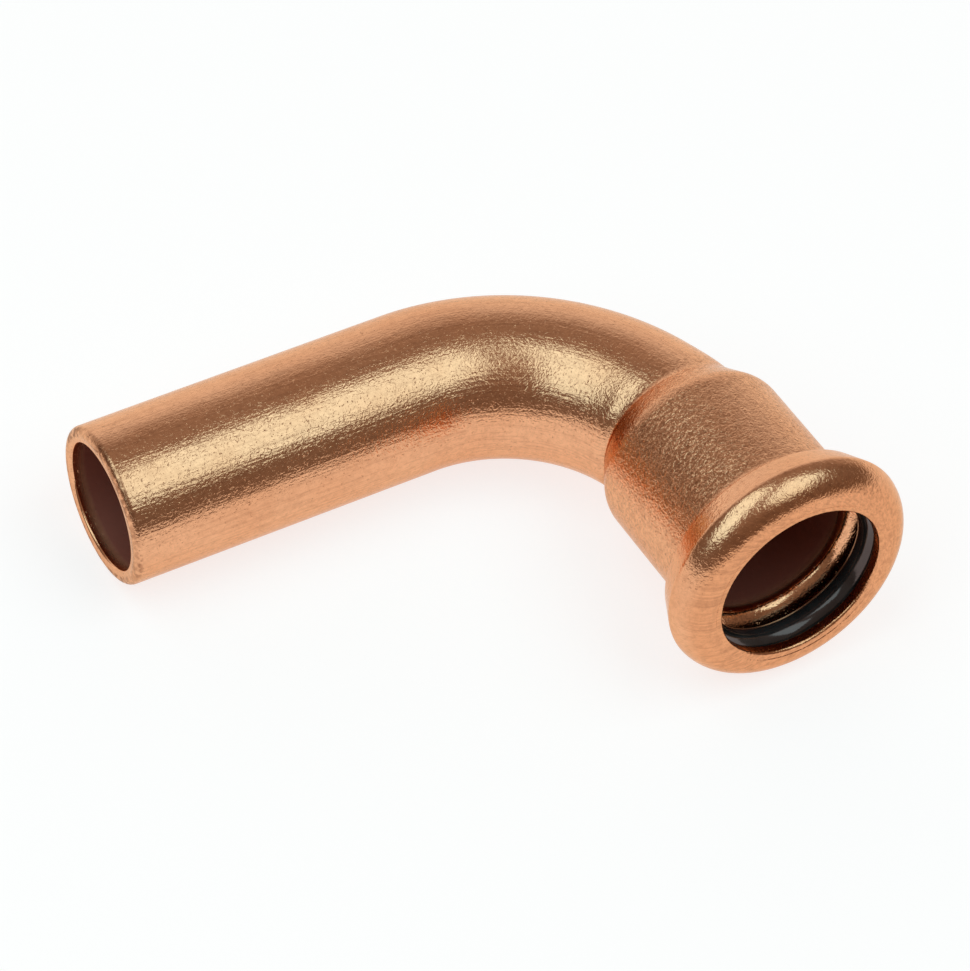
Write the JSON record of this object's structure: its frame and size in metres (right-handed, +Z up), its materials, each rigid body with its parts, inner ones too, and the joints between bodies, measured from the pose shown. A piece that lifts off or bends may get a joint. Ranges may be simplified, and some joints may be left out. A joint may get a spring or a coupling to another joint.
{
  "type": "press fit pipe elbow",
  "caption": "Right-angle copper press elbow for pipe: a plain spigot on one end, a beaded socket with a rubber sealing ring on the other.",
  "frame": {"origin": "middle of the elbow's box seen from above, on the surface that the elbow lies on", "axes": "+Z up from that surface; -X out of the spigot along its axis; the socket faces -Y and rises 7.2 degrees towards its mouth, because the elbow rests on its spigot and its bead"},
  "size_m": [0.0622, 0.0458, 0.0237],
  "materials": {
    "copper": "bare tumbled copper, satin with a fine grain",
    "seal_rubber": "smooth black moulded rubber, lightly oiled"
  },
  "bodies": {
    "root": {"elbow_body": "copper", "sealing_ring": "seal_rubber"}
  },
  "joints": []
}
